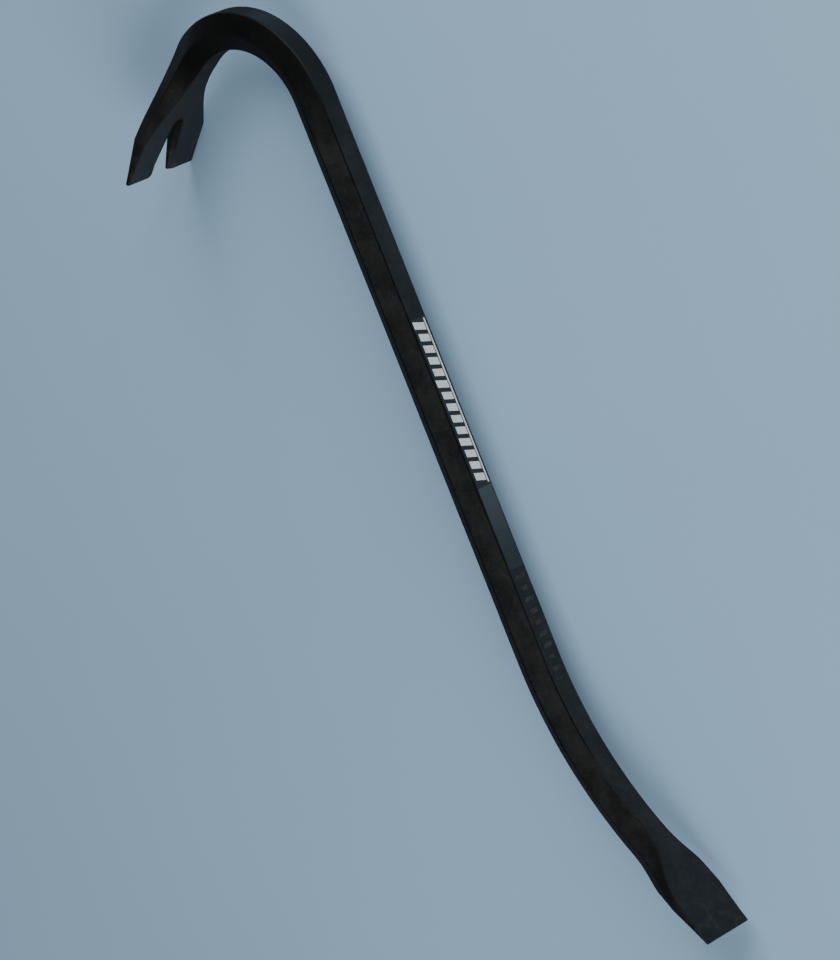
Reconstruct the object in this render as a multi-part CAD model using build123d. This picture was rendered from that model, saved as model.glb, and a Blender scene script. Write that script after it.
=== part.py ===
from build123d import *
import os
from math import cos, sin, degrees, radians, sqrt

# A gooseneck crow bar, forged in one piece from hexagonal steel bar, with a printed film label.
#
# Frame: the bar lies on its side, as it would on a bench. +X runs along the straight shaft
# towards the gooseneck, +Y is the side that the claw hooks over to, and +Z is up. The bar is the
# same above and below its middle plane, in which its centreline lies. The origin is under the
# middle of the whole bar, at the height of its lowest point. All sizes are in millimetres.

# The steel bar and the overall length, from the top of the gooseneck to the chisel edge
OVERALL_LENGTH = 914.4
ACROSS_FLATS = 34.925
ACROSS_CORNERS = ACROSS_FLATS * 2 / sqrt(3)
STEEL = "forged_bar"

# Gooseneck: an arc of the centreline, then the claw, which turns in a little more. A larger
# spread keeps the claw narrow for longer, and the edge share is how much of the width is flat.
NECK_RADIUS = 85.0
NECK_ANGLE = radians(118.5)
CLAW_ROOT_LENGTH = 95.0
CLAW_ROOT_TURN = radians(13.0)
CLAW_SPREAD = 2.2
CLAW_BLADE_LENGTH = 48.0
CLAW_CORNER_WIDTH = 80.0
CLAW_TIP_WIDTH = 84.0
CLAW_CORNER_THICKNESS = 13.5
CLAW_TIP_THICKNESS = 4.5
CLAW_EDGE_SHARE = 0.96

# Nail slot: a V through the claw, with a wide bevel on the inner face
SLOT_LENGTH = 60.0
SLOT_MOUTH_WIDTH = 19.0
SLOT_ROOT_RADIUS = 3.2
BEVEL_MARGIN = 5.5
BEVEL_LENGTHENING = 9.0

# Lower bend and chisel, which leans away from the side that the claw hooks over to
BEND_RADIUS = 380.0
BEND_ANGLE = radians(28.5)
CHISEL_ROOT_LENGTH = 67.0
CHISEL_SPREAD_START = 0.15
CHISEL_BLADE_LENGTH = 43.0
CHISEL_SHOULDER_WIDTH = 60.0
CHISEL_TIP_WIDTH = 56.5
CHISEL_SHOULDER_THICKNESS = 11.0
CHISEL_TIP_THICKNESS = 2.4
CHISEL_EDGE_SHARE = 0.94

# Film label on the back flat, measured from the top of the gooseneck
LABEL_START = 315.0
LABEL_LENGTH = 238.0
LABEL_WIDTH = 17.0
LABEL_THICKNESS = 0.15
LABEL_CORNER_RADIUS = 1.5

# Plain raised bars that the forging die leaves on the back flat, below the label
MARK_START = 558.0
MARK_PITCH = 11.0
MARK_COUNT = 12
MARK_LENGTH = 5.0
MARK_WIDTHS = (11.0, 7.0, 11.0)
MARK_HEIGHT = 0.6

ROOT_SECTIONS = 8


def step_along(frame, length, turn):
    """The frame (x, y, heading) that an arc of this length and this turn reaches."""
    x, y, heading = frame
    if abs(turn) < 1e-9:
        return x + length * cos(heading), y + length * sin(heading), heading
    radius = length / turn
    end = heading + turn
    return x + radius * (sin(end) - sin(heading)), y - radius * (cos(end) - cos(heading)), end


def section_plane(frame):
    """The plane across the bar: its x runs to the left of the heading, its y is +Z."""
    x, y, heading = frame
    ahead = Vector(cos(heading), sin(heading), 0)
    left = Vector(-sin(heading), cos(heading), 0)
    return Plane(origin=(x, y, 0), x_dir=left, z_dir=ahead)


def hexagon(frame, width, thickness, flat_share):
    """A six-sided section: width across its two side corners, thickness across its two flats."""
    side = width / 2
    flat = flat_share * side
    face = thickness / 2
    points = [(0, side), (face, flat), (face, -flat), (0, -side), (-face, -flat), (-face, flat)]
    return section_plane(frame) * make_face(Polyline(*points, close=True))


def bar_section(frame):
    """The section of the steel bar as it comes, a regular hexagon."""
    return hexagon(frame, ACROSS_CORNERS, ACROSS_FLATS, 0.5)


def ease(low, high, value):
    """Rises smoothly from 0 at low to 1 at high."""
    t = min(max((value - low) / (high - low), 0.0), 1.0)
    return t * t * (3 - 2 * t)


def mix(a, b, share):
    return a + (b - a) * share


# Centreline stations. The bar is drawn with the shaft along X and moved to its origin at the end.
NECK_START = (0.0, 0.0, 0.0)
CLAW_START = step_along(NECK_START, NECK_RADIUS * NECK_ANGLE, NECK_ANGLE)
CLAW_CORNER = step_along(CLAW_START, CLAW_ROOT_LENGTH, CLAW_ROOT_TURN)
CLAW_TIP = step_along(CLAW_CORNER, CLAW_BLADE_LENGTH, 0)
NECK_TOP_X = NECK_RADIUS + ACROSS_FLATS / 2
CHISEL_LENGTH = CHISEL_ROOT_LENGTH + CHISEL_BLADE_LENGTH
CHISEL_EDGE_REACH = CHISEL_TIP_THICKNESS / 2 * sin(BEND_ANGLE)
BEND_REACH = BEND_RADIUS * sin(BEND_ANGLE) + CHISEL_LENGTH * cos(BEND_ANGLE) + CHISEL_EDGE_REACH
SHAFT_LENGTH = OVERALL_LENGTH - NECK_TOP_X - BEND_REACH
BEND_START = (-SHAFT_LENGTH, 0.0, radians(180))
CHISEL_START = step_along(BEND_START, BEND_RADIUS * BEND_ANGLE, BEND_ANGLE)
CHISEL_SHOULDER = step_along(CHISEL_START, CHISEL_ROOT_LENGTH, 0)
CHISEL_TIP = step_along(CHISEL_SHOULDER, CHISEL_BLADE_LENGTH, 0)


def make_shaft():
    return extrude(bar_section(BEND_START), -SHAFT_LENGTH)


def bent_bar(frame, radius, angle):
    """The plain bar, bent to the left of the frame's heading."""
    x, y, heading = frame
    centre = (x - radius * sin(heading), y + radius * cos(heading), 0)
    return revolve(bar_section(frame), Axis(centre, (0, 0, 1)), degrees(angle))


def make_claw_root():
    """The claw flattens and spreads from the bent bar to its corners."""
    sections = []
    for i in range(ROOT_SECTIONS + 1):
        s = i / ROOT_SECTIONS
        frame = step_along(CLAW_START, s * CLAW_ROOT_LENGTH, s * CLAW_ROOT_TURN)
        width = mix(ACROSS_CORNERS, CLAW_CORNER_WIDTH, s ** CLAW_SPREAD)
        thickness = mix(ACROSS_FLATS, CLAW_CORNER_THICKNESS, s)
        flat_share = mix(0.5, CLAW_EDGE_SHARE, ease(0, 0.9, s))
        sections.append(hexagon(frame, width, thickness, flat_share))
    return loft(sections)


def make_claw_blade():
    corner = hexagon(CLAW_CORNER, CLAW_CORNER_WIDTH, CLAW_CORNER_THICKNESS, CLAW_EDGE_SHARE)
    tip = hexagon(CLAW_TIP, CLAW_TIP_WIDTH, CLAW_TIP_THICKNESS, CLAW_EDGE_SHARE)
    return loft([corner, tip], ruled=True)


def slot_outline(share):
    """The slot's V at a share of the claw's half thickness, wider and longer on the inner side."""
    x, y, heading = CLAW_TIP
    taper = (CLAW_CORNER_THICKNESS - CLAW_TIP_THICKNESS) / CLAW_BLADE_LENGTH
    overshoot = 5.0
    margin = share * BEVEL_MARGIN
    root = SLOT_ROOT_RADIUS + margin / 2
    depth = SLOT_LENGTH + share * BEVEL_LENGTHENING
    mouth = SLOT_MOUTH_WIDTH / 2 + margin
    overshot_mouth = mouth + (mouth - root) / depth * overshoot

    def point(t, up):
        height = share * (CLAW_TIP_THICKNESS + taper * t) / 2
        back_x = x - t * cos(heading) - height * sin(heading)
        return back_x, y - t * sin(heading) + height * cos(heading), up

    left_start, left_end = point(-overshoot, overshot_mouth), point(depth - root, root)
    right_start, right_end = point(-overshoot, -overshot_mouth), point(depth - root, -root)
    root_arc = ThreePointArc(left_end, point(depth, 0), right_end)
    sides = [Line(left_start, left_end), root_arc, Line(right_end, right_start)]
    return make_face(sides + [Line(right_start, left_start)])


def make_slot_cutter():
    """A straight V right through the claw, and a bevel from mid thickness to the inner face."""
    heading = CLAW_TIP[2]
    across = Vector(-sin(heading), cos(heading), 0)
    through = extrude(slot_outline(0), ACROSS_FLATS, across, both=True)
    return through + loft([slot_outline(0), slot_outline(2)], ruled=True)


def make_chisel_root():
    """The chisel flattens from the bent bar, and only then spreads to its shoulder."""
    sections = []
    for i in range(ROOT_SECTIONS + 1):
        s = i / ROOT_SECTIONS
        frame = step_along(CHISEL_START, s * CHISEL_ROOT_LENGTH, 0)
        spread = ease(CHISEL_SPREAD_START, 1.1, s) / ease(CHISEL_SPREAD_START, 1.1, 1)
        thinning = ease(0, 1.1, s) / ease(0, 1.1, 1)
        width = mix(ACROSS_CORNERS, CHISEL_SHOULDER_WIDTH, spread)
        thickness = mix(ACROSS_FLATS, CHISEL_SHOULDER_THICKNESS, thinning)
        flat_share = mix(0.5, CHISEL_EDGE_SHARE, ease(0, 0.7, s))
        sections.append(hexagon(frame, width, thickness, flat_share))
    return loft(sections)


def make_chisel_blade():
    shoulder = hexagon(
        CHISEL_SHOULDER, CHISEL_SHOULDER_WIDTH, CHISEL_SHOULDER_THICKNESS, CHISEL_EDGE_SHARE
    )
    tip = hexagon(CHISEL_TIP, CHISEL_TIP_WIDTH, CHISEL_TIP_THICKNESS, CHISEL_EDGE_SHARE)
    return loft([shoulder, tip], ruled=True)


def on_back_flat(distance_from_top, z=0):
    """A plane on the flat that faces -Y, its x towards the chisel and its normal outwards."""
    return Plane(
        origin=(NECK_TOP_X - distance_from_top, -ACROSS_FLATS / 2, z),
        x_dir=(-1, 0, 0),
        z_dir=(0, -1, 0),
    )


def make_forging_marks():
    """Raised bars in groups, each let into the steel so that it is one with the bar."""
    marks = []
    for i in range(MARK_COUNT):
        plane = on_back_flat(MARK_START + i * MARK_PITCH + MARK_LENGTH / 2)
        width = MARK_WIDTHS[i % len(MARK_WIDTHS)]
        marks.append(plane * Box(MARK_LENGTH, width, 2 * MARK_HEIGHT))
    return marks


def make_forged_bar():
    bar = make_shaft() + bent_bar(NECK_START, NECK_RADIUS, NECK_ANGLE)
    bar += bent_bar(BEND_START, BEND_RADIUS, BEND_ANGLE)
    bar += make_claw_root() + make_claw_blade()
    bar += make_chisel_root() + make_chisel_blade()
    for mark in make_forging_marks():
        bar += mark
    return bar - make_slot_cutter()


def make_label():
    outline = RectangleRounded(LABEL_LENGTH, LABEL_WIDTH, LABEL_CORNER_RADIUS)
    return extrude(on_back_flat(LABEL_START + LABEL_LENGTH / 2) * outline, LABEL_THICKNESS)


bar = make_forged_bar()
label = make_label()
box = bar.bounding_box()
to_origin = Pos(-(box.min.X + box.max.X) / 2, -(box.min.Y + box.max.Y) / 2, -box.min.Z)

os.makedirs("parts", exist_ok=True)
export_step(to_origin * bar, f"parts/{STEEL}.step")
export_step(to_origin * label, "parts/printed_label.step")
print("moved to the origin by", to_origin.position)
print("size", box.size)
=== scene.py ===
from math import cos, pi, radians, sin, sqrt

import bmesh
import bpy
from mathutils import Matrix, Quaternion, Vector, noise


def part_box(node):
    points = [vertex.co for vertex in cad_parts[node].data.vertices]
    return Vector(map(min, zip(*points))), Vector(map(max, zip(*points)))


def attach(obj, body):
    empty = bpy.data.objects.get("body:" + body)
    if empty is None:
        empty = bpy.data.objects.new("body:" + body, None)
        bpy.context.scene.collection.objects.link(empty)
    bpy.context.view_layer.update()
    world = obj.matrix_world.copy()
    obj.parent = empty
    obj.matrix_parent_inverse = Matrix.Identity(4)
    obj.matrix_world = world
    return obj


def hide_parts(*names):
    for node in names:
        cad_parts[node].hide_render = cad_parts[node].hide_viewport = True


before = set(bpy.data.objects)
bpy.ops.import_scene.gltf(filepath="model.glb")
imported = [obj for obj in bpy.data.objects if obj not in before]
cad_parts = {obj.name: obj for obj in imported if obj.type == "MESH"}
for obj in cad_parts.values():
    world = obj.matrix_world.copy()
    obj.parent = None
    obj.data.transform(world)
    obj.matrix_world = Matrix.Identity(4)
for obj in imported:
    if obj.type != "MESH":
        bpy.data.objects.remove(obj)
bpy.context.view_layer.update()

STEEL = "forged_bar"
LABEL = "printed_label"

# ---------------------------------------------------------------- driving dimensions, in metres

# The steel bar, a regular hexagon: its flats are half as wide as it is across its corners
ACROSS_FLATS = 0.034925
ACROSS_CORNERS = ACROSS_FLATS * 2 / sqrt(3)
PLAIN_FLAT_SHARE = 0.5

# Gooseneck and claw. A larger spread keeps the claw's root narrow for longer. The edge share is
# how much of the width is flat, and the root reaches it at the edge end, a share of its length.
NECK_RADIUS = 0.085
NECK_ANGLE = radians(118.5)
CLAW_ROOT_LENGTH = 0.095
CLAW_ROOT_TURN = radians(13.0)
CLAW_SPREAD = 2.2
CLAW_BLADE_LENGTH = 0.048
CLAW_CORNER_WIDTH = 0.080
CLAW_TIP_WIDTH = 0.084
CLAW_CORNER_THICKNESS = 0.0135
CLAW_TIP_THICKNESS = 0.0045
CLAW_EDGE_SHARE = 0.96
CLAW_EDGE_END = 0.9

# Nail slot: a V with a round end, and a bevel that widens and lengthens it on the inner face
SLOT_LENGTH = 0.060
SLOT_MOUTH_WIDTH = 0.019
SLOT_ROOT_RADIUS = 0.0032
BEVEL_MARGIN = 0.0055
BEVEL_LENGTHENING = 0.009

# Lower bend and chisel. Along the chisel's root the width and thickness ease in up to the ease end,
# and the flats up to the edge end. Both ends are shares of the root's length.
BEND_RADIUS = 0.380
BEND_ANGLE = radians(28.5)
CHISEL_ROOT_LENGTH = 0.067
CHISEL_SPREAD_START = 0.15
CHISEL_BLADE_LENGTH = 0.043
CHISEL_SHOULDER_WIDTH = 0.060
CHISEL_TIP_WIDTH = 0.0565
CHISEL_SHOULDER_THICKNESS = 0.011
CHISEL_TIP_THICKNESS = 0.0024
CHISEL_EDGE_SHARE = 0.94
CHISEL_EASE_END = 1.1
CHISEL_EDGE_END = 0.7

# Forged edges. A rounded corner takes the edge radius off each side, up to a share of that side.
# The slot's rim is eased too, and that fades over the last share of the slot. Two rows round off
# each tip: from the outside, their inset on all sides and their setback along the bar.
EDGE_RADIUS = 0.0014
CORNER_LIMIT = 0.45
RIM_EASE = 0.0004
RIM_EASE_FADE = 0.1
TIP_ROWS = ((0.0005, 0), (0.00015, 0.00015))

# How finely the skin is cut, round the outline and along the bar. Rows crowd at the slot's end.
EDGE_STEPS = 5
FACET_SHARES = (0.25, 0.5, 0.75)
FLAT_STEPS = 10
WALL_STEPS = 8
WALL_LOW_STEPS = 3
FINE_STEP = 0.0016
SHAFT_STEP = 0.0025
SLOT_ROW_DENSITY = 1.5
SLOT_ROW_CROWDING = 1.5
ON_MIDDLE = 1e-7
MERGE_DISTANCE = 2e-6

# Surface of the forging. Frequencies are in cells per metre, and the finer hollows are half as
# strong. A point moves by at most a share of the shortest edge at it.
WIDE_HOLLOWS = 0.00016
HOLLOW_FREQUENCIES = (26, 61)
SCALE_DEPTH = 0.00006
SCALE_FREQUENCY = 170
MOVE_SHARE = 0.3
WORKED_LENGTH = 0.045
FAR_FROM_TIPS = 1.0

# Forging marks on the back flat, measured from the top of the gooseneck
MARK_START = 0.558
MARK_PITCH = 0.011
MARK_COUNT = 12
MARK_LENGTH = 0.005
MARK_WIDTHS = (0.011, 0.007, 0.011)
MARK_HEIGHT = 0.0006
MARK_SLOPE = 0.0005
MARK_SINK = 0.0003

# Print on the label, measured along it from its gooseneck end and across it from its lower edge
PRINT_SPAN = (0.002, 0.158)
PRINT_LINE_HEIGHT = (0.0008, 0.0024)
PRINT_BAR_HEIGHT = (0.0034, 0.0146)
PRINT_TALL_TOP = 0.0162
PRINT_PITCH = 0.0110
PRINT_BAR_SHARE = 0.62
PRINT_TALL_EVERY = 5
PRINT_COUNT = 14
PRINT_SLANT = 0.30
PRINT_END_GAP = 0.002

# ---------------------------------------------------------------- looks, light and camera values

# Lacquer: its mottled base, its painted shade on the ridges and over the arch, and where it is worn
# thin
LACQUER_DARK = (0.0064, 0.0068, 0.0068, 1)
LACQUER_LIGHT = (0.0122, 0.0127, 0.0124, 1)
LACQUER_SPECKLE = (0.024, 0.0245, 0.0238, 1)
# Painted shade along the ridges: a darker black line
RIDGE_PAINTED_SHADE = (0.0012, 0.0013, 0.0013, 1)
RIDGE_SHADE_COVER = 0.9
# Painted shade over the gooseneck's arch: a darker black
ARCH_PAINTED_SHADE = (0.0012, 0.0013, 0.0012, 1)
ARCH_SHADE_COVER = 0.8
WORN_LACQUER = (0.084, 0.067, 0.054, 1)
WORN_COVER = 0.22
RUBBED_COVER = 0.3
CREST_COVER = (0.08, 0.34)

# Painted shade on the gooseneck's arch, a blacker base colour: where it lies along X and across Y
ARCH_SHADE_ALONG = (0.29, 0.41)
ARCH_SHADE_ACROSS = (0.045, 0.095)

# How glossy and rough the lacquer is, and what a ridge adds to its roughness: along the shaft, and
# at both ends. The ends are the arch and, along X, what lies below the haze's range.
LACQUER_SPECULAR = 0.30
LACQUER_ROUGHNESS = (0.38, 0.50)
ARCH_ROUGHNESS = 0.26
RIDGE_ROUGHNESS = (-0.22, 0.38)
CHISEL_HAZE = (-0.34, -0.24)

# Orange peel and hammer scale, as the depth of their bumps
PEEL_DEPTH = 0.00003
SCALE_BUMP_DEPTH = 0.0003

# The lacquer turns matt where it is seen at a low angle
GRAZING_RANGE = (0.5, 0.8)
GRAZING_ROUGHNESS = 0.85

# Tint of the gloss, which offsets the blue of the floor that it reflects
WARM_GLOSS = (1.0, 0.92, 0.86, 1)

# Label film and its print
FILM_DARK = (0.008, 0.010, 0.011, 1)
FILM_LIGHT = (0.014, 0.017, 0.018, 1)
FILM_GREY = (0.044, 0.051, 0.050, 1)
FILM_GREY_COVER = 0.8
FILM_SPECULAR = 0.5
FILM_ROUGHNESS = (0.22, 0.34)
FILM_RIPPLE = 0.00006
INK_WHITE = (0.68, 0.64, 0.60, 1)
INK_ROUGHNESS = 0.15

# Floor, light and camera. The softboxes stand on both sides in front of the bar, at a low angle.
# Powers are in watts, the camera's angles in degrees and its lens in millimetres.
FLOOR_TONES = ((0.417, 0.619, 0.81, 1), (0.433, 0.640, 0.83, 1))
FLOOR_ROUGHNESS = (0.75, 0.85)
FLOOR_GRAIN = 0.0001
FLOOR_SIZE = 14.0
SOFTBOX_TINT = (0.88, 0.95, 1.0)
SOFTBOX_X = 3.65
SOFTBOX_Y = -2.37
SOFTBOX_Z = 2.05
SOFTBOX_SIZE = 3.6
LEFT_POWER = 196
RIGHT_POWER = 208
SKY_TINT = (0.90, 0.95, 1.0)
SKY_STRENGTH = 0.10
CAMERA_AZIMUTH = -83.45
CAMERA_ELEVATION = 40.7
CAMERA_ROLL = -116.05
CAMERA_DISTANCE = 4.294
CAMERA_LENS = 180.0
CAMERA_AIM = (0.0029, -0.0070, 0.0388)


# ---------------------------------------------------------------- the bar's centreline

def step_along(place, length, turn):
    """The place (x, y, heading) that an arc of this length and this turn reaches."""
    x, y, heading = place
    if abs(turn) < 1e-9:
        return x + length * cos(heading), y + length * sin(heading), heading
    radius = length / turn
    end = heading + turn
    return x + radius * (sin(end) - sin(heading)), y - radius * (cos(end) - cos(heading)), end


def ease(low, high, value):
    """Rises smoothly from 0 at low to 1 at high."""
    t = min(max((value - low) / (high - low), 0.0), 1.0)
    return t * t * (3 - 2 * t)


def mix(a, b, share):
    return a + (b - a) * share


STEEL_LOW, STEEL_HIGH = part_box(STEEL)
NECK_TOP_X = STEEL_HIGH.x
MIDDLE_Z = (STEEL_LOW.z + STEEL_HIGH.z) / 2
OVERALL_LENGTH = STEEL_HIGH.x - STEEL_LOW.x
CLAW_LENGTH = CLAW_ROOT_LENGTH + CLAW_BLADE_LENGTH
CHISEL_LENGTH = CHISEL_ROOT_LENGTH + CHISEL_BLADE_LENGTH
BEND_REACH = (
    BEND_RADIUS * sin(BEND_ANGLE)
    + CHISEL_LENGTH * cos(BEND_ANGLE)
    + CHISEL_TIP_THICKNESS / 2 * sin(BEND_ANGLE)
)
SHAFT_LENGTH = OVERALL_LENGTH - NECK_RADIUS - ACROSS_FLATS / 2 - BEND_REACH
CHISEL_DROP = BEND_RADIUS * (1 - cos(BEND_ANGLE)) + CHISEL_LENGTH * sin(BEND_ANGLE)
SHAFT_Y = STEEL_LOW.y + CHISEL_DROP + CHISEL_TIP_THICKNESS / 2 * cos(BEND_ANGLE)
NECK_START = (NECK_TOP_X - NECK_RADIUS - ACROSS_FLATS / 2, SHAFT_Y, 0.0)
BEND_START = (NECK_START[0] - SHAFT_LENGTH, SHAFT_Y, pi)
CLAW_START = step_along(NECK_START, NECK_RADIUS * NECK_ANGLE, NECK_ANGLE)
CLAW_CORNER = step_along(CLAW_START, CLAW_ROOT_LENGTH, CLAW_ROOT_TURN)
CHISEL_START = step_along(BEND_START, BEND_RADIUS * BEND_ANGLE, BEND_ANGLE)


# ---------------------------------------------------------------- the forging's surface

def on_bar(place, inward, up):
    """A point beside the centreline: inward is to the left of the heading, up is along Z."""
    x, y, heading = place
    return Vector((x - inward * sin(heading), y + inward * cos(heading), MIDDLE_Z + up))


def claw_place(t):
    """The centreline at a distance t from the claw's tip."""
    if t <= CLAW_BLADE_LENGTH:
        return step_along(CLAW_CORNER, CLAW_BLADE_LENGTH - t, 0)
    share = (CLAW_LENGTH - t) / CLAW_ROOT_LENGTH
    return step_along(CLAW_START, share * CLAW_ROOT_LENGTH, share * CLAW_ROOT_TURN)


def claw_section(t):
    """Width, thickness and flat share at a distance t from the claw's tip."""
    if t <= CLAW_BLADE_LENGTH:
        share = t / CLAW_BLADE_LENGTH
        width = mix(CLAW_TIP_WIDTH, CLAW_CORNER_WIDTH, share)
        return width, mix(CLAW_TIP_THICKNESS, CLAW_CORNER_THICKNESS, share), CLAW_EDGE_SHARE
    s = (CLAW_LENGTH - t) / CLAW_ROOT_LENGTH
    return (
        mix(ACROSS_CORNERS, CLAW_CORNER_WIDTH, s ** CLAW_SPREAD),
        mix(ACROSS_FLATS, CLAW_CORNER_THICKNESS, s),
        mix(PLAIN_FLAT_SHARE, CLAW_EDGE_SHARE, ease(0, CLAW_EDGE_END, s)),
    )


def chisel_section(s):
    """Width, thickness and flat share at a distance s from where the lower bend ends."""
    if s > CHISEL_ROOT_LENGTH:
        share = (s - CHISEL_ROOT_LENGTH) / CHISEL_BLADE_LENGTH
        return (
            mix(CHISEL_SHOULDER_WIDTH, CHISEL_TIP_WIDTH, share),
            mix(CHISEL_SHOULDER_THICKNESS, CHISEL_TIP_THICKNESS, share),
            CHISEL_EDGE_SHARE,
        )
    r = s / CHISEL_ROOT_LENGTH
    end = CHISEL_EASE_END
    spread = ease(CHISEL_SPREAD_START, end, r) / ease(CHISEL_SPREAD_START, end, 1)
    thinning = ease(0, end, r) / ease(0, end, 1)
    return (
        mix(ACROSS_CORNERS, CHISEL_SHOULDER_WIDTH, spread),
        mix(ACROSS_FLATS, CHISEL_SHOULDER_THICKNESS, thinning),
        mix(PLAIN_FLAT_SHARE, CHISEL_EDGE_SHARE, ease(0, CHISEL_EDGE_END, r)),
    )


def slot_end(share):
    """How far from the tip the nail slot reaches, at a share of the claw's half thickness."""
    return SLOT_LENGTH + BEVEL_LENGTHENING * max(share, 0)


def slot_half_width(t, share):
    """Half the slot's width at a distance t from the tip and a share of the half thickness."""
    margin = BEVEL_MARGIN * max(share, 0)
    root = SLOT_ROOT_RADIUS + margin / 2
    straight = slot_end(share) - root
    mouth = SLOT_MOUTH_WIDTH / 2 + margin
    if t <= straight:
        return mix(mouth, root, t / straight)
    return sqrt(max(root ** 2 - (t - straight) ** 2, 0.0))


def rounded_corner(before, corner, after, radius):
    """Points of a rounded corner, from the side before it to the side after it."""
    cut_in = min(radius, CORNER_LIMIT * (before - corner).length)
    cut_out = min(radius, CORNER_LIMIT * (after - corner).length)
    start = corner + (before - corner).normalized() * cut_in
    end = corner + (after - corner).normalized() * cut_out
    steps = [i / EDGE_STEPS for i in range(EDGE_STEPS + 1)]
    return [start * (1 - q) ** 2 + corner * (2 * q * (1 - q)) + end * q ** 2 for q in steps]


def side_outline(width, thickness, flat_share, radius):
    """The half outline from the inner flat's corner, round the side, to the outer flat's corner.

    Each point is (inward, up). The caller adds the two flats.
    """
    side, face = width / 2, thickness / 2
    flat = flat_share * side
    inner, ridge, outer = Vector((face, flat)), Vector((0, side)), Vector((-face, flat))
    corners = [
        rounded_corner(Vector((face, 0)), inner, ridge, radius),
        rounded_corner(inner, ridge, outer, radius),
        rounded_corner(ridge, outer, Vector((-face, 0)), radius),
    ]
    points = list(corners[0])
    for last, this in zip(corners, corners[1:]):
        points += [last[-1].lerp(this[0], q) for q in FACET_SHARES] + this
    return points


# Edge weight of each point of side_outline, for wear and painted ridge shade: 1 on a rounded
# corner's middle, 0 on a flat
CORNER_WEAR_AND_SHADE = [4 * (i / EDGE_STEPS) * (1 - i / EDGE_STEPS) for i in range(EDGE_STEPS + 1)]
SIDE_WEAR_AND_SHADE = (CORNER_WEAR_AND_SHADE + [0.0] * len(FACET_SHARES)) * 2 + CORNER_WEAR_AND_SHADE


def bar_row(place, section):
    """One half of a solid section, as points and edge weights for wear and painted ridge shade,
    starting and ending on the middle.
    """
    width, thickness, flat_share = section
    face = thickness / 2
    outline = side_outline(width, thickness, flat_share, EDGE_RADIUS)
    middle = [Vector((mix(-face, face, i / WALL_STEPS), 0)) for i in range(WALL_STEPS + 1)]
    shares = [i / FLAT_STEPS for i in range(FLAT_STEPS)]
    inner = [Vector((face, 0)).lerp(outline[0], q) for q in shares]
    outer = [outline[-1].lerp(Vector((-face, 0)), q) for q in shares[1:] + [1.0]]
    points = [on_bar(place, *p) for p in middle + inner + outline + outer]
    wear = [0.0] * (len(middle) + len(inner)) + SIDE_WEAR_AND_SHADE + [0.0] * len(outer)
    return points, wear


def claw_row(tau):
    """One half of the claw at a share of the slot's length from the tip, or past its end (1 to 2).

    The slot ends further back on the inner face, so a row slants a little across the claw.
    """
    def reach(end):
        return tau * end if tau <= 1 else end + (tau - 1) * (CLAW_LENGTH - end)

    def wall_point(share):
        """A point of the slot's wall, at a share (-1 to 1) of the claw's half thickness."""
        t = reach(slot_end(share))
        half = slot_half_width(t, share) if tau < 1 else 0.0
        return on_bar(claw_place(t), share * claw_section(t)[1] / 2, half), t, half

    rim_ease = RIM_EASE * min(max((1 - tau) / RIM_EASE_FADE, 0.0), 1.0)
    side_t = reach(SLOT_LENGTH + BEVEL_LENGTHENING / 2)

    def face_points(side, corner):
        """A flat, from the slot's rim to its corner. The side is 1 inside and -1 outside."""
        rim_t, rim_half = wall_point(side)[1:]
        found = []
        for i in range(FLAT_STEPS):
            q = i / FLAT_STEPS
            t = mix(rim_t, side_t, q * q)
            up = mix(rim_half + rim_ease, corner, q)
            found.append(on_bar(claw_place(t), side * claw_section(t)[1] / 2, up))
        return found

    eased = 1 - rim_ease / (claw_section(reach(SLOT_LENGTH))[1] / 2)
    lower = [mix(-eased, 0, i / WALL_LOW_STEPS) for i in range(WALL_LOW_STEPS)]
    high_steps = WALL_STEPS - WALL_LOW_STEPS
    upper = [mix(0, eased, i / high_steps) for i in range(high_steps + 1)]
    wall = [wall_point(share)[0] for share in lower + upper]
    outline = side_outline(*claw_section(side_t), EDGE_RADIUS)
    side = [on_bar(claw_place(side_t), *p) for p in outline]
    inner = face_points(1, outline[0][1])
    outer = face_points(-1, outline[-1][1])[::-1]
    wear = [0.0] * (len(wall) + len(inner)) + SIDE_WEAR_AND_SHADE + [0.0] * len(outer)
    return wall + inner + side + outer, wear


def rounded_tip(row, place, inset, setback):
    """The same row, drawn in on all sides and set back along the bar, to round a tip."""
    points, wear = row
    ahead = Vector((cos(place[2]), sin(place[2]), 0))
    centre = sum(points, Vector()) / len(points)
    if min(abs(p.z - MIDDLE_Z) for p in points) < ON_MIDDLE:
        centre.z = MIDDLE_Z
    spans = []
    for axis in (Vector((-ahead.y, ahead.x, 0)), Vector((0, 0, 1))):
        reach = max(abs((p - centre).dot(axis)) for p in points)
        spans.append((axis, inset / reach))
    moved = []
    for p in points:
        q = p - ahead * setback
        for axis, share in spans:
            q -= axis * (p - centre).dot(axis) * share
        moved.append(q)
    return moved, wear


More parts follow.
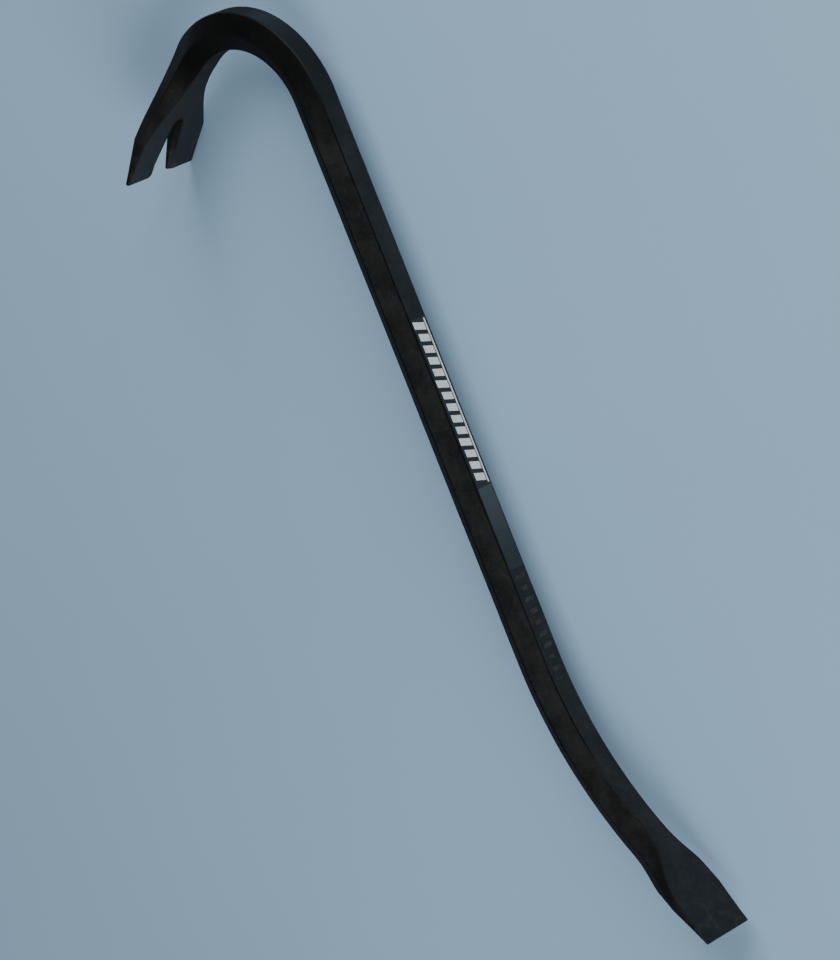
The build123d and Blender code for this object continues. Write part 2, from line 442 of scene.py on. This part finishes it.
def bar_rows():
    """All half outlines from the claw's tip to the chisel's edge.

    Each row has its points, their edge weights for wear and painted ridge shade, and about how far
    it is from the nearer tip.
    """
    rows = []
    for roundness in TIP_ROWS:
        rows.append((*rounded_tip(claw_row(0), claw_place(0), *roundness), 0.0))
    slot_steps = round(SLOT_LENGTH / FINE_STEP * SLOT_ROW_DENSITY)
    taus = [1 - (1 - i / slot_steps) ** SLOT_ROW_CROWDING for i in range(1, slot_steps + 1)]
    root_steps = round((CLAW_LENGTH - SLOT_LENGTH) / FINE_STEP)
    taus += [1 + i / root_steps for i in range(1, root_steps + 1)]
    for tau in taus:
        rows.append((*claw_row(tau), tau * SLOT_LENGTH))
    plain = (ACROSS_CORNERS, ACROSS_FLATS, PLAIN_FLAT_SHARE)
    neck = NECK_RADIUS * NECK_ANGLE
    neck_rows = round(neck / FINE_STEP)
    for i in reversed(range(neck_rows)):
        share = i / neck_rows
        place = step_along(NECK_START, neck * share, NECK_ANGLE * share)
        rows.append((*bar_row(place, plain), FAR_FROM_TIPS))
    shaft_rows = round(SHAFT_LENGTH / SHAFT_STEP)
    for i in range(1, shaft_rows):
        place = (NECK_START[0] - SHAFT_LENGTH * i / shaft_rows, SHAFT_Y, 0.0)
        rows.append((*bar_row(place, plain), FAR_FROM_TIPS))
    bend = BEND_RADIUS * BEND_ANGLE
    bend_rows = round(bend / FINE_STEP)
    for i in range(bend_rows):
        share = i / bend_rows
        x, y, heading = step_along(BEND_START, bend * share, BEND_ANGLE * share)
        rows.append((*bar_row((x, y, heading - pi), plain), FAR_FROM_TIPS))
    chisel_rows = round(CHISEL_LENGTH / FINE_STEP)
    for i in range(chisel_rows + 1):
        s = CHISEL_LENGTH * i / chisel_rows
        x, y, heading = step_along(CHISEL_START, s, 0)
        row = bar_row((x, y, heading - pi), chisel_section(s))
        if i < chisel_rows:
            rows.append((*row, CHISEL_LENGTH - s))
    for roundness in reversed(TIP_ROWS):
        rows.append((*rounded_tip(row, (x, y, heading), *roundness), 0.0))
    return rows


def make_mesh_object(name, mesh_maker, *args):
    mesh = bpy.data.meshes.new(name)
    bm = bmesh.new()
    mesh_maker(bm, *args)
    bm.to_mesh(mesh)
    bm.free()
    piece = bpy.data.objects.new(name, mesh)
    bpy.context.scene.collection.objects.link(piece)
    return piece


def build_bar(bm, rows):
    """Joins the rows into one closed skin, mirrored about the middle plane."""
    edge = bm.verts.layers.float.new("edge_wear_and_shade")
    worked = bm.verts.layers.float.new("worked")
    grids = {1: [], -1: []}
    for points, wear, distance in rows:
        line = {1: [], -1: []}
        for p, w in zip(points, wear):
            up = p.z - MIDDLE_Z
            for side in (1, -1):
                if side == -1 and abs(up) < ON_MIDDLE:
                    line[-1].append(line[1][-1])
                    continue
                v = bm.verts.new((p.x, p.y, MIDDLE_Z + side * up))
                # The edge weight carries both edge wear and the painted shade of the ridges
                v[edge] = w
                v[worked] = max(0.0, 1 - distance / WORKED_LENGTH)
                line[side].append(v)
        for side in (1, -1):
            grids[side].append(line[side])
    for side, grid in grids.items():
        for row, following in zip(grid, grid[1:]):
            for i in range(len(row)):
                j = (i + 1) % len(row)
                quad = [row[i], row[j], following[j], following[i]]
                if any(abs(v.co.z - MIDDLE_Z) > ON_MIDDLE for v in quad):
                    bm.faces.new(quad[::side])
        for end in (grid[0], grid[-1]):
            bm.faces.new(end)
    unused = [v for v in bm.verts if not v.link_faces]
    bmesh.ops.delete(bm, geom=unused, context="VERTS")
    bmesh.ops.remove_doubles(bm, verts=bm.verts, dist=MERGE_DISTANCE)
    bmesh.ops.dissolve_degenerate(bm, edges=bm.edges, dist=MERGE_DISTANCE)
    bmesh.ops.recalc_face_normals(bm, faces=bm.faces)
    bm.normal_update()
    forge_surface(bm)
    for face in bm.faces:
        face.smooth = len(face.verts) <= 4


def build_marks(bm):
    """The raised bars on the back flat: low blocks with sloping sides, let into the steel."""
    back = SHAFT_Y - ACROSS_FLATS / 2
    crest = bm.verts.layers.float.new("crest")
    for i in range(MARK_COUNT):
        centre = NECK_TOP_X - (MARK_START + i * MARK_PITCH + MARK_LENGTH / 2)
        width = MARK_WIDTHS[i % len(MARK_WIDTHS)]
        rings = []
        for y, inset in ((back + MARK_SINK, 0), (back, 0), (back - MARK_HEIGHT, MARK_SLOPE)):
            dx, dz = MARK_LENGTH / 2 - inset, width / 2 - inset
            corners = [(-dx, -dz), (dx, -dz), (dx, dz), (-dx, dz)]
            rings.append([bm.verts.new((centre + x, y, MIDDLE_Z + z)) for x, z in corners])
        for v in rings[-1]:
            v[crest] = 1
        for ring, following in zip(rings, rings[1:]):
            for k in range(4):
                m = (k + 1) % 4
                bm.faces.new([ring[k], ring[m], following[m], following[k]])
        bm.faces.new(rings[0])
        bm.faces.new(rings[-1])
    bmesh.ops.recalc_face_normals(bm, faces=bm.faces)


def forge_surface(bm):
    """Hollows and hammer scale, always inwards, so that the skin stays inside the solid bar."""
    moves = []
    for v in bm.verts:
        low, high = (noise.noise(v.co * frequency) for frequency in HOLLOW_FREQUENCIES)
        wide = low + 0.5 * high
        scale = noise.noise(v.co * SCALE_FREQUENCY)
        depth = WIDE_HOLLOWS * max(0.5 + wide / 2, 0) + SCALE_DEPTH * max(scale, 0)
        shortest = min(e.calc_length() for e in v.link_edges)
        moves.append(-v.normal * min(depth, shortest * MOVE_SHARE))
    for v, move in zip(bm.verts, moves):
        v.co += move


# ---------------------------------------------------------------- materials

class Nodes:
    """A material's node tree, with one short call for each kind of node."""

    def __init__(self, name):
        self.material = bpy.data.materials.new(name)
        self.material.use_nodes = True
        self.tree = self.material.node_tree
        self.shader = self.tree.nodes["Principled BSDF"]
        self.coordinates = self.new("ShaderNodeTexCoord").outputs["Object"]
        self.split = None

    def new(self, kind, **settings):
        node = self.tree.nodes.new(kind)
        for key, value in settings.items():
            setattr(node, key, value)
        return node

    def link(self, source, target):
        if isinstance(source, (int, float, tuple)):
            target.default_value = source
        else:
            self.tree.links.new(source, target)

    def axis(self, name):
        if self.split is None:
            self.split = self.new("ShaderNodeSeparateXYZ")
            self.link(self.coordinates, self.split.inputs[0])
        return self.split.outputs[name]

    def stretched(self, factors):
        node = self.new("ShaderNodeMapping")
        self.link(self.coordinates, node.inputs["Vector"])
        node.inputs["Scale"].default_value = factors
        return node.outputs["Vector"]

    def noise(self, scale, detail=3.0, roughness=0.55, vector=None):
        """Noise from 0 to 1, with about this many cells in a metre."""
        node = self.new("ShaderNodeTexNoise")
        self.link(vector or self.coordinates, node.inputs["Vector"])
        node.inputs["Scale"].default_value = scale
        node.inputs["Detail"].default_value = detail
        node.inputs["Roughness"].default_value = roughness
        return node.outputs["Fac"]

    def attribute(self, name):
        return self.new("ShaderNodeAttribute", attribute_name=name).outputs["Fac"]

    def math(self, operation, a, b=0.0, c=0.0):
        node = self.new("ShaderNodeMath", operation=operation)
        for value, socket in zip((a, b, c), node.inputs):
            self.link(value, socket)
        return node.outputs[0]

    def times(self, a, b):
        return self.math("MULTIPLY", a, b)

    def ramp(self, value, low, high, to_low=0.0, to_high=1.0):
        """Goes smoothly from to_low to to_high while the value goes from low to high."""
        node = self.new("ShaderNodeMapRange", interpolation_type="SMOOTHSTEP")
        for v, key in ((value, "Value"), (low, "From Min"), (high, "From Max")):
            self.link(v, node.inputs[key])
        self.link(to_low, node.inputs["To Min"])
        self.link(to_high, node.inputs["To Max"])
        return node.outputs["Result"]

    def blend(self, factor, a, b):
        node = self.new("ShaderNodeMix", data_type="RGBA")
        self.link(factor, node.inputs[0])
        self.link(a, node.inputs[6])
        self.link(b, node.inputs[7])
        return node.outputs[2]

    def bump(self, height, distance, strength, normal=None):
        """Bumps, at full strength as deep as the distance, over another normal if one is given."""
        node = self.new("ShaderNodeBump")
        self.link(height, node.inputs["Height"])
        node.inputs["Distance"].default_value = distance
        node.inputs["Strength"].default_value = strength
        if normal:
            self.link(normal, node.inputs["Normal"])
        return node.outputs["Normal"]

    def finish(self, color, roughness, normal, **constants):
        self.link(color, self.shader.inputs["Base Color"])
        self.link(roughness, self.shader.inputs["Roughness"])
        self.link(normal, self.shader.inputs["Normal"])
        for key, value in constants.items():
            self.shader.inputs[key.replace("_", " ")].default_value = value
        return self.material


def black_lacquer():
    """Semi-gloss black lacquer, mottled over forged steel and rubbed along its edges."""
    n = Nodes("black_lacquer")
    ridge, at_tip = n.attribute("edge_wear_and_shade"), n.attribute("worked")

    # The mottled base, with painted shade: blacker on the ridges and on the gooseneck's arch
    mottle = n.ramp(n.noise(45, detail=5, roughness=0.6), 0.34, 0.68)
    speckle = n.ramp(n.noise(300, detail=4, roughness=0.6), 0.5, 0.75, 0, 0.5)
    base = n.blend(mottle, LACQUER_DARK, LACQUER_LIGHT)
    base = n.blend(speckle, base, LACQUER_SPECKLE)
    # Painted shade: a dark line along each ridge
    base = n.blend(n.times(ridge, RIDGE_SHADE_COVER), base, RIDGE_PAINTED_SHADE)
    # Painted shade over the gooseneck's arch, darker where the light falls off
    on_arch = n.ramp(n.axis("X"), *ARCH_SHADE_ALONG)
    arch_shade = n.times(on_arch, n.ramp(n.axis("Y"), *ARCH_SHADE_ACROSS, 1, 0))
    base = n.blend(n.times(arch_shade, ARCH_SHADE_COVER), base, ARCH_PAINTED_SHADE)

    # Worn patches: rubbed ridges and worked steel at both tips, and the tops of the raised bars
    rubbed = n.times(ridge, n.ramp(n.noise(120, detail=4, roughness=0.7), 0.52, 0.7))
    rubbed = n.times(rubbed, n.times(at_tip, RUBBED_COVER))
    crest_patches = n.ramp(n.noise(170, detail=4), 0.38, 0.62, *CREST_COVER)
    crest = n.times(n.attribute("crest"), crest_patches)
    worked = n.times(at_tip, n.ramp(n.noise(90, detail=5), 0.5, 0.68))
    wear = n.math("MAXIMUM", n.math("MAXIMUM", rubbed, crest), n.times(worked, WORN_COVER))
    color = n.blend(wear, base, WORN_LACQUER)

    # Roughness, streaked along the bar
    streaks = n.noise(60, detail=3, vector=n.stretched((0.18, 1.6, 1.6)))
    uneven = n.math("ADD", n.times(mottle, 0.5), streaks)
    roughness = n.ramp(uneven, 0.3, 1.1, *LACQUER_ROUGHNESS)
    roughness = n.ramp(arch_shade, 0, 1, roughness, ARCH_ROUGHNESS)
    at_ends = n.math("MAXIMUM", on_arch, n.ramp(n.axis("X"), *CHISEL_HAZE, 1, 0))
    roughness = n.math("MULTIPLY_ADD", ridge, n.ramp(at_ends, 0, 1, *RIDGE_ROUGHNESS), roughness)
    grazing = n.new("ShaderNodeLayerWeight").outputs["Facing"]
    roughness = n.ramp(grazing, *GRAZING_RANGE, roughness, GRAZING_ROUGHNESS)

    peel = n.bump(n.noise(1100, detail=2), PEEL_DEPTH, 0.5)
    scale = n.bump(n.noise(210, detail=5, roughness=0.65), SCALE_BUMP_DEPTH, 0.5, peel)
    gloss = {"Specular_Tint": WARM_GLOSS, "Specular_IOR_Level": LACQUER_SPECULAR}
    return n.finish(color, roughness, scale, **gloss)


def label_print():
    """Glossy black film with a plain white printed scale: an edge line and slanted bars."""
    n = Nodes("label_film")
    low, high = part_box(LABEL)
    along = n.math("SUBTRACT", high.x, n.axis("X"))
    across = n.math("SUBTRACT", n.axis("Z"), low.z)

    def band(value, start, end):
        return n.times(n.math("GREATER_THAN", value, start), n.math("LESS_THAN", value, end))

    # The slanted bars, taller at the start of each group, and the line along the label's edge
    slanted = n.math("ADD", along, n.times(across, PRINT_SLANT))
    first = PRINT_SPAN[0] + PRINT_SLANT * PRINT_TALL_TOP
    counted = n.math("DIVIDE", n.math("SUBTRACT", slanted, first), PRINT_PITCH)
    bars = n.math("LESS_THAN", n.math("FRACT", counted), PRINT_BAR_SHARE)
    bars = n.times(bars, band(counted, 0, PRINT_COUNT))
    group = n.math("FRACT", n.math("DIVIDE", n.math("FLOOR", counted), PRINT_TALL_EVERY))
    tall = n.math("LESS_THAN", group, 0.5 / PRINT_TALL_EVERY)
    bottom, plain_top = PRINT_BAR_HEIGHT
    top = n.math("ADD", plain_top, n.times(tall, PRINT_TALL_TOP - plain_top))
    bars = n.times(bars, band(across, bottom, top))
    line = n.times(band(across, *PRINT_LINE_HEIGHT), band(along, *PRINT_SPAN))
    printed = n.math("MAXIMUM", bars, line)

    # The ink, worn in specks, over a film that is grey past the print and fades to its end
    ink = n.times(printed, n.ramp(n.noise(420, detail=4, roughness=0.7), 0.30, 0.42))
    film = n.blend(n.noise(50, detail=3), FILM_DARK, FILM_LIGHT)
    grey_start = PRINT_SPAN[1] + PRINT_END_GAP
    grey = n.ramp(along, grey_start, high.x - low.x, 1, 0)
    grey = n.times(grey, n.math("GREATER_THAN", along, grey_start))
    film = n.blend(n.times(grey, FILM_GREY_COVER), film, FILM_GREY)
    color = n.blend(ink, film, INK_WHITE)

    uneven = n.ramp(n.noise(45, detail=4), 0.3, 0.7, *FILM_ROUGHNESS)
    roughness = n.math("ADD", uneven, n.times(ink, INK_ROUGHNESS))
    ripple = n.bump(n.noise(320, detail=3), FILM_RIPPLE, 0.35)
    gloss = {"Specular_Tint": WARM_GLOSS, "Specular_IOR_Level": FILM_SPECULAR}
    return n.finish(color, roughness, ripple, **gloss)


def floor_material():
    """Plain pale blue-grey, almost even, and matt."""
    n = Nodes("pale_floor")
    tone = n.noise(2.2, detail=3)
    roughness = n.ramp(tone, 0.3, 0.7, *FLOOR_ROUGHNESS)
    grain = n.bump(n.noise(900, detail=2), FLOOR_GRAIN, 0.2)
    return n.finish(n.blend(tone, *FLOOR_TONES), roughness, grain)


# ---------------------------------------------------------------- the pieces

LACQUER = black_lacquer()
forging = make_mesh_object(STEEL + "_forging", build_bar, bar_rows())
forging.data.materials.append(LACQUER)
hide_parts(STEEL)
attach(forging, "root")

marks = make_mesh_object("forging_marks", build_marks)
marks.data.materials.append(LACQUER)
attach(marks, "root")

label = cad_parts[LABEL]
label.data.materials.clear()
label.data.materials.append(label_print())


# ---------------------------------------------------------------- floor, light and camera

def add_floor():
    mesh = bpy.data.meshes.new("floor")
    half = FLOOR_SIZE / 2
    corners = [(-half, -half, 0), (half, -half, 0), (half, half, 0), (-half, half, 0)]
    mesh.from_pydata(corners, [], [(0, 1, 2, 3)])
    floor = bpy.data.objects.new("floor", mesh)
    bpy.context.scene.collection.objects.link(floor)
    mesh.materials.append(floor_material())


def add_softbox(name, x, power):
    """A square light beside and in front of the bar, aimed at the floor under its middle."""
    data = bpy.data.lights.new(name, "AREA")
    data.shape = "RECTANGLE"
    data.size = data.size_y = SOFTBOX_SIZE
    data.energy = power
    data.color = SOFTBOX_TINT
    lamp = bpy.data.objects.new(name, data)
    lamp.location = (x, SOFTBOX_Y, SOFTBOX_Z)
    lamp.rotation_euler = (-lamp.location).to_track_quat("-Z", "Y").to_euler()
    bpy.context.scene.collection.objects.link(lamp)


def set_world():
    world = bpy.data.worlds.new("studio")
    world.use_nodes = True
    background = world.node_tree.nodes["Background"]
    background.inputs["Color"].default_value = (*SKY_TINT, 1)
    background.inputs["Strength"].default_value = SKY_STRENGTH
    bpy.context.scene.world = world


def add_camera():
    """Looks from the shaft's back and above, rolled so that the gooseneck is at the top left."""
    azimuth, elevation = radians(CAMERA_AZIMUTH), radians(CAMERA_ELEVATION)
    level_part = cos(elevation)
    towards = Vector((cos(azimuth) * level_part, sin(azimuth) * level_part, sin(elevation)))
    data = bpy.data.cameras.new("camera")
    data.lens = CAMERA_LENS
    camera = bpy.data.objects.new("camera", data)
    camera.rotation_mode = "QUATERNION"
    level = towards.to_track_quat("Z", "Y")
    camera.rotation_quaternion = level @ Quaternion((0, 0, 1), radians(CAMERA_ROLL))
    camera.location = Vector(CAMERA_AIM) + towards * CAMERA_DISTANCE
    bpy.context.scene.collection.objects.link(camera)
    bpy.context.scene.camera = camera


add_floor()
add_softbox("left_softbox", -SOFTBOX_X, LEFT_POWER)
add_softbox("right_softbox", SOFTBOX_X, RIGHT_POWER)
set_world()
add_camera()
